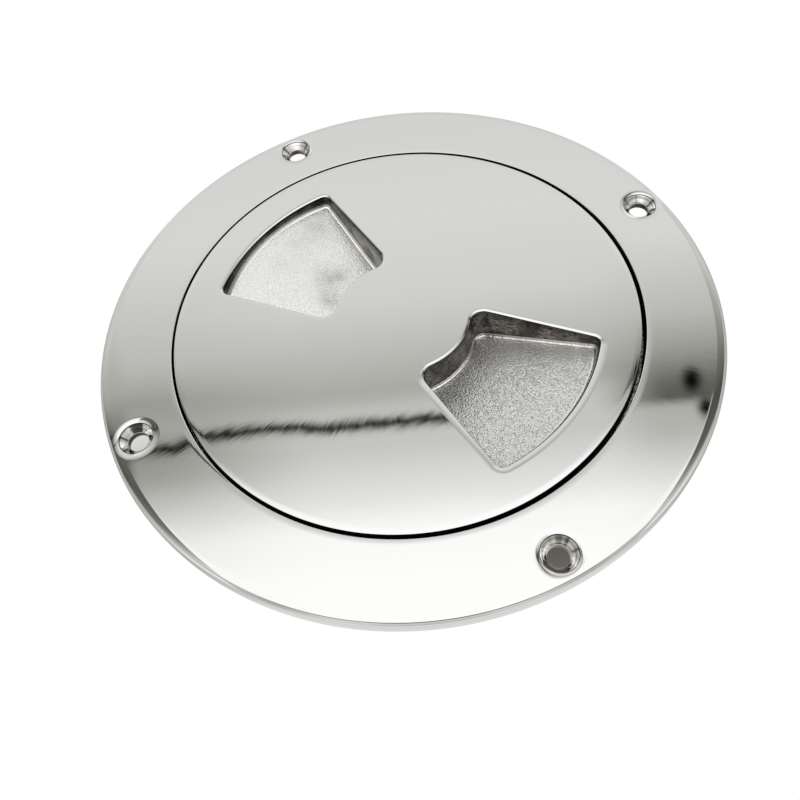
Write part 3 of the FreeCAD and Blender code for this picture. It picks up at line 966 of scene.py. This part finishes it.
def lidPatches(l, p):
    angles = p["angles"][0] + np.arange(l["segments"]) * 360 / l["segments"]
    rollDrop = l["edgeRollSlope"] * l["edgeRollWidth"] / 2
    edgeLevel = topLevel - rollDrop
    flatEdge = lidRadius - l["edgeRound"] - l["edgeRollWidth"]
    skirtInner = lidRootRadius - l["skirtWall"]
    chamfer = l["skirtRootChamfer"]
    edge = l["edgeRound"]
    profiles = [
        (rollOff((flatEdge, topLevel), l["edgeRollWidth"], l["edgeRollSlope"], 4), 0),
        (oval((lidRadius - edge, edgeLevel - edge), edge, edge, 90, 58, 4), 8),
        # The steep part of the lid's rounding and its rim wall are near-black painted shade
        (oval((lidRadius - edge, edgeLevel - edge), edge, edge, 58, 0, 5), 5),
        (straight((lidRadius, edgeLevel - edge), (lidRadius, rimUnder)), 5),
        (straight((lidRadius, rimUnder), (neckRadius, rimUnder)), 3),
        (straight((neckRadius, rimUnder), (neckRadius, neckEnd)), 3),
        (straight((neckRadius, neckEnd), (lidRootRadius, neckEnd)), 3),
        (straight((lidRootRadius, neckEnd), (lidRootRadius, skirtEnd)), 3),
        (straight((lidRootRadius, skirtEnd), (skirtInner, skirtEnd)), 3),
        (straight((skirtInner, skirtEnd), (skirtInner, plateUnder - chamfer)), 3),
        (straight((skirtInner, plateUnder - chamfer), (skirtInner - chamfer, plateUnder)), 3),
    ]
    patches = [turned(profile, angles, material, lidCentre) for profile, material in profiles]
    patches += plateWithPockets(flatEdge, topLevel, [lipEdge(0, p), lipEdge(1, p)], True, 0, l, p)
    body = fanOutline(draftInset(topLevel - plateUnder, p) - p["shell"], p)[0]
    patches += plateWithPockets(skirtInner - chamfer, plateUnder, [body, body], False, 3, l, p)
    for k in range(len(p["angles"])):
        patches += pocketPatches(k, p)
    ringStart = threadMargin + collarEnd
    lidStart = skirtEnd + threadMargin
    ahead = (lidStart - ringStart) / threadShape["pitch"] - 0.5
    patches += threadPatches(lidRootRadius, neckRadius, lidStart, ahead * 360, lidCentre, 3)
    return patches


makePiece("lidPlate", lidPatches(lid, pocket), [polishedLid] + castSteels, "lid", "lid")


# Rubber ring under the lid's rim

seal = {"segments": 256, "sides": 24}


def sealPatch(s):
    # Torus: (R + r cos b) out, r sin b up, carried round
    b = np.arange(s["sides"]) * 2 * math.pi / s["sides"]
    p = np.stack([sealRadius + sealCordRadius * np.cos(b), sealLevel + sealCordRadius * np.sin(b)], axis=-1)
    n = np.stack([np.cos(b), np.sin(b)], axis=-1)
    patch = turned((p, n), np.arange(s["segments"]) * 360 / s["segments"], 0, lidCentre)
    rows = p.shape[0]
    points = patch["points"].reshape(rows, s["segments"], 3)
    a = np.arange(s["segments"]) * 2 * math.pi / s["segments"]
    normals = np.stack([n[:, :1] * np.cos(a), n[:, :1] * np.sin(a), n[:, 1:] + 0 * a], axis=-1)
    return gridPatch(points, normals, 0, wrapRows=True)


makePiece("sealRing", [sealPatch(seal)], [rubber], "seal", "o_ring")


# White table and the studio round it

studio = {"floorSize": 4.0, "hiddenMiddle": 9.1, "whiteFrom": 85.5, "whiteTo": 88.3,
          "paintedShadeFront": -50.0, "paintedLightBack": 2.0, "underPlateShade": (0.44, 0.43, 0.40, 1),
          "steelWhiteFrom": 125.0, "steelWhiteTo": 260.0, "steelNearShade": 0.75, "steelSideShade": 0.28,
          "sideFrom": 0.45, "sideTo": 0.85}


def addFloor(s):
    mesh = bpy.data.meshes.new("tableTop")
    half = s["floorSize"] / 2
    level = collarEnd * mm
    corners = [(-half, -half, level), (half, -half, level), (half, half, level), (-half, half, level)]
    mesh.from_pydata(corners, [], [(0, 1, 2, 3)])
    obj = bpy.data.objects.new("tableTop", mesh)
    bpy.context.collection.objects.link(obj)
    material = bpy.data.materials.new("whiteTable")
    material.use_nodes = True
    tree = material.node_tree
    tree.nodes.clear()
    # The table is white to the camera and far off in the steel. Under the plate it is a plain
    # surface painted grey as painted shade, which also keeps the plate's shadow.
    coords = tree.nodes.new("ShaderNodeTexCoord")
    parts = addNode(tree, "ShaderNodeSeparateXYZ", Vector=coords.outputs["Object"])

    def distance(middle):
        y = minus(tree, parts.outputs["Y"], middle * mm)
        squares = plus(tree, power(tree, parts.outputs["X"], 2.0),
                           power(tree, mathNode(tree, "ABSOLUTE", y), 2.0))
        return mathNode(tree, "SQRT", squares)

    def away(value, start, end):
        node = tree.nodes.new("ShaderNodeMapRange")
        node.inputs["From Min"].default_value = s[start] * mm
        node.inputs["From Max"].default_value = s[end] * mm
        tree.links.new(value, node.inputs["Value"])
        return node.outputs["Result"]

    path = tree.nodes.new("ShaderNodeLightPath")
    mirrored = mathNode(tree, "MAXIMUM", path.outputs["Is Glossy Ray"], path.outputs["Is Transmission Ray"])
    # In the steel it is white far off, and near the plate dimmer, most at the two sides: painted
    # shade on the table as the steel sees it
    far = away(distance(0.0), "steelWhiteFrom", "steelWhiteTo")
    sideways = over(tree, mathNode(tree, "ABSOLUTE", parts.outputs["X"]), distance(0.0))
    near = addNode(tree, "ShaderNodeMapRange", interpolation_type="SMOOTHSTEP")
    near.inputs["From Min"].default_value = s["sideFrom"]
    near.inputs["From Max"].default_value = s["sideTo"]
    near.inputs["To Min"].default_value = s["steelNearShade"]
    near.inputs["To Max"].default_value = s["steelSideShade"]
    tree.links.new(sideways, near.inputs["Value"])
    mirrored = times(tree, mirrored, mathNode(tree, "MAXIMUM", near.outputs["Result"], far))
    # From the camera the flange hides a circle of the table, all but what its holes show. Through the
    # holes the table is painted white towards the back and left darker towards the front: painted light
    # and shade.
    seen = mathNode(tree, "MAXIMUM", away(distance(s["hiddenMiddle"]), "whiteFrom", "whiteTo"),
                    away(parts.outputs["Y"], "paintedShadeFront", "paintedLightBack"))
    direct = times(tree, path.outputs["Is Camera Ray"], seen)
    mask = mathNode(tree, "MAXIMUM", direct, mirrored)
    plain = addNode(tree, "ShaderNodeBsdfDiffuse")
    plain.inputs["Color"].default_value = s["underPlateShade"]
    white = addNode(tree, "ShaderNodeEmission", Strength=1.0)
    white.inputs["Color"].default_value = (1, 1, 1, 1)
    mix = tree.nodes.new("ShaderNodeMixShader")
    tree.links.new(mask, mix.inputs[0])
    tree.links.new(plain.outputs[0], mix.inputs[1])
    tree.links.new(white.outputs[0], mix.inputs[2])
    output = addNode(tree, "ShaderNodeOutputMaterial", Surface=mix.outputs[0])
    mesh.materials.append(material)


addFloor(studio)

# The studio seen by the steel, as (angle, level): the angle is 0 at the far side of the table,
# 90 overhead and 180 behind the camera. A far wall fades down to a darker strip at about 58,
# above which a bright ceiling runs to 134. Columns to the two sides have their own wall and
# strip. Behind the camera it is dark, and lighter again further down.
sky = {
    "axisTurn": 3.0, "brightest": 1.3,
    "middle": [(0, 0.60), (45, 0.86), (51, 0.80), (58, 0.50), (59.4, 0.70), (62, 0.72), (66, 0.98),
               (68, 1.20), (72, 1.26), (112, 1.27), (134, 1.10), (140, 0.10), (151, 0.04),
               (156, 0.06), (164, 0.45), (172, 0.70), (180, 0.80)],
    "columns": [
        {"from": -22.2, "to": -23.4, "stops": [
            (0, 1.0), (30, 1.2), (38, 0.76), (50, 0.72), (56, 0.48), (60, 0.16), (66, 0.12), (71, 0.22),
            (80, 0.90), (90, 1.0), (134, 0.95)]},
        {"from": 20.3, "to": 21.8, "stops": [
            (0, 1.0), (30, 1.2), (37, 0.74), (48, 0.72), (58, 0.20), (62, 0.09), (68, 0.14), (80, 0.90),
            (90, 1.0), (134, 0.9)]},
        {"from": -8.0, "to": -22.0, "stops": [
            (0, 0.40), (38, 0.84), (46, 0.84), (54, 0.63), (57, 0.41), (59, 0.46), (61, 0.37), (63, 0.44),
            (68, 1.06), (72, 1.22), (110, 1.25), (134, 1.10), (146, 0.95)]},
        {"from": 11.0, "to": 17.0, "stops": [
            (0, 0.42), (38, 0.82), (48, 0.86), (54, 0.63), (57, 0.40), (59.4, 0.16), (60.8, 0.13),
            (61.2, 0.55), (63, 0.58), (68, 1.10), (72, 1.22), (110, 1.25), (126, 1.0), (133, 0.3),
            (141, 0.9)]},
    ],
    # Share of a column's level that is left behind the camera
    "behind": [(134, 1.0), (141, 0.08), (152, 0.05), (158, 0.55), (168, 0.85)],
    "acrossStops": [(-90, 0.35), (-70, 0.45), (-45, 0.6), (-28, 1.0), (26, 1.0), (45, 0.65), (66, 0.55),
                    (90, 0.3)],
    "besideFrom": 38.0, "besideTo": 50.0, "besideLevel": 0.45, "behindFrom": 100.0, "behindTo": 125.0,
    "barAngles": [(-40, 60.7), (-19.4, 60.6), (-18.2, 60.05), (-15, 59.92), (-12, 59.85), (-8.2, 60.25),
                  (0, 60.3), (90, 60.3)],
    "barHalf": 0.48, "barDark": 0.97, "barFrom": 9.0, "barTo": 1.0,
    "streakTilt": 32.0, "streakAcross": 3.4, "streakAlong": 0.5, "streakShift": 0.9,
    "spots": [(59.3, 18.55, 1.0, 0.68), (61.45, 19.35, 0.85, 0.62)], "spotEdge": 1.5,
    "tints": [(0.0, (1.0, 0.90, 0.78)), (0.12, (0.985, 0.99, 0.89)), (0.22, (0.985, 1.0, 0.912)),
              (0.68, (0.99, 1.0, 0.955)), (0.86, (0.998, 1.0, 0.992)), (1.0, (1.0, 1.0, 1.0))],
}


def addWorld(s):
    world = bpy.data.worlds.new("studio")
    bpy.context.scene.world = world
    world.use_nodes = True
    tree = world.node_tree
    tree.nodes.clear()
    coords = tree.nodes.new("ShaderNodeTexCoord")
    parts = tree.nodes.new("ShaderNodeSeparateXYZ")
    turn = addNode(tree, "ShaderNodeVectorRotate")
    turn.rotation_type = "Z_AXIS"
    turn.inputs["Angle"].default_value = math.radians(s["axisTurn"])
    tree.links.new(coords.outputs["Generated"], turn.inputs["Vector"])
    tree.links.new(turn.outputs["Vector"], parts.inputs["Vector"])
    up = mathNode(tree, "MAXIMUM", mathNode(tree, "ARCTAN2", parts.outputs["Z"], parts.outputs["Y"]), 0.0)
    up = times(tree, up, 180 / math.pi)
    across = times(tree, mathNode(tree, "ARCSINE", parts.outputs["X"]), 180 / math.pi)

    def levels(stops, source, span, start=0.0, most=1.0):
        # A ramp holds values up to 1, so levels come out of it as shares of the most
        share = over(tree, minus(tree, source, start), span)
        stops = [((angle - start) / span, (value / most,)) for angle, value in stops]
        return ramp(tree, share, stops).outputs["Color"]

    def between(source, start, end):
        node = addNode(tree, "ShaderNodeMapRange", interpolation_type="SMOOTHSTEP")
        node.inputs["From Min"].default_value = start
        node.inputs["From Max"].default_value = end
        tree.links.new(source, node.inputs["Value"])
        return node.outputs["Result"]

    def mixed(first, second, share):
        rest = minus(tree, 1.0, share)
        return plus(tree, times(tree, first, rest), times(tree, second, share))

    # From the middle outwards: each column takes over between two angles to its side
    brightest = s["brightest"]
    behind = levels(s["behind"], up, 180.0)
    level = levels(s["middle"], up, 180.0, most=brightest)
    for column in sorted(s["columns"], key=lambda c: abs(c["from"])):
        side = 1 if column["to"] > 0 else -1
        share = between(times(tree, across, side), side * column["from"], side * column["to"])
        own = times(tree, levels(column["stops"], up, 180.0, most=brightest), behind)
        level = mixed(level, own, share)
    level = times(tree, level, levels(s["acrossStops"], across, 180.0, -90.0))
    # Behind the camera it is dark in the middle only
    beside = between(mathNode(tree, "ABSOLUTE", across), s["besideFrom"], s["besideTo"])
    beside = times(tree, beside, between(up, s["behindFrom"], s["behindTo"]))
    level = mixed(level, s["besideLevel"], beside)
    # Small dark things in the studio, each with a flat middle and a soft rim:
    # 1 - e^-((((up - angle) / half)^2 + ((across - side) / half)^2)^spotEdge)
    for angle, side, halfUp, halfAcross in s["spots"]:
        high = over(tree, minus(tree, up, angle), halfUp)
        wide = over(tree, minus(tree, across, side), halfAcross)
        squares = plus(tree, power(tree, high, 2.0), power(tree, wide, 2.0))
        spot = mathNode(tree, "EXPONENT", times(tree, power(tree, squares, s["spotEdge"]), -1.0))
        level = times(tree, level, minus(tree, 1.0, spot))
    # Dark bar: 1 - dark * e^-((angle - bar) / half)^2, on the left of the studio only. Its edges
    # fray along slanting streaks, a noise stretched along them
    lowest = min(v for _, v in s["barAngles"])
    span = max(v for _, v in s["barAngles"]) - lowest
    share = over(tree, plus(tree, across, 90.0), 180.0)
    stops = [((side + 90) / 180, ((angle - lowest) / span,)) for side, angle in s["barAngles"]]
    line = ramp(tree, share, stops).outputs["Color"]
    bar = plus(tree, times(tree, line, span), lowest)
    tilt = math.radians(s["streakTilt"])
    beside = plus(tree, times(tree, across, math.sin(tilt) * s["streakAcross"]),
                      times(tree, up, math.cos(tilt) * s["streakAcross"]))
    along = minus(tree, times(tree, across, math.cos(tilt) * s["streakAlong"]),
                     times(tree, up, math.sin(tilt) * s["streakAlong"]))
    where = addNode(tree, "ShaderNodeCombineXYZ", X=beside, Y=along)
    streaks = addNode(tree, "ShaderNodeTexNoise", Scale=1.0, Detail=2.0, Vector=where.outputs["Vector"])
    fray = times(tree, minus(tree, streaks.outputs["Fac"], 0.5), s["streakShift"])
    bar = plus(tree, bar, fray)
    off = over(tree, minus(tree, up, bar), s["barHalf"])
    dark = mathNode(tree, "EXPONENT", times(tree, power(tree, off, 2.0), -1.0))
    dark = times(tree, dark, minus(tree, 1.0, between(across, s["barTo"], s["barFrom"])))
    dark = times(tree, dark, s["barDark"])
    level = times(tree, level, minus(tree, 1.0, dark))
    strength = times(tree, level, brightest)
    tint = ramp(tree, strength, s["tints"])
    path = tree.nodes.new("ShaderNodeLightPath")
    light = addNode(tree, "ShaderNodeBackground", Color=tint.outputs["Color"], Strength=strength)
    white = tree.nodes.new("ShaderNodeBackground")
    white.inputs["Color"].default_value = (1, 1, 1, 1)
    mix = tree.nodes.new("ShaderNodeMixShader")
    tree.links.new(path.outputs["Is Camera Ray"], mix.inputs[0])
    tree.links.new(light.outputs[0], mix.inputs[1])
    tree.links.new(white.outputs[0], mix.inputs[2])
    output = addNode(tree, "ShaderNodeOutputWorld", Surface=mix.outputs[0])


addWorld(sky)
bpy.context.scene.view_settings.view_transform = "Standard"
print("studio made")
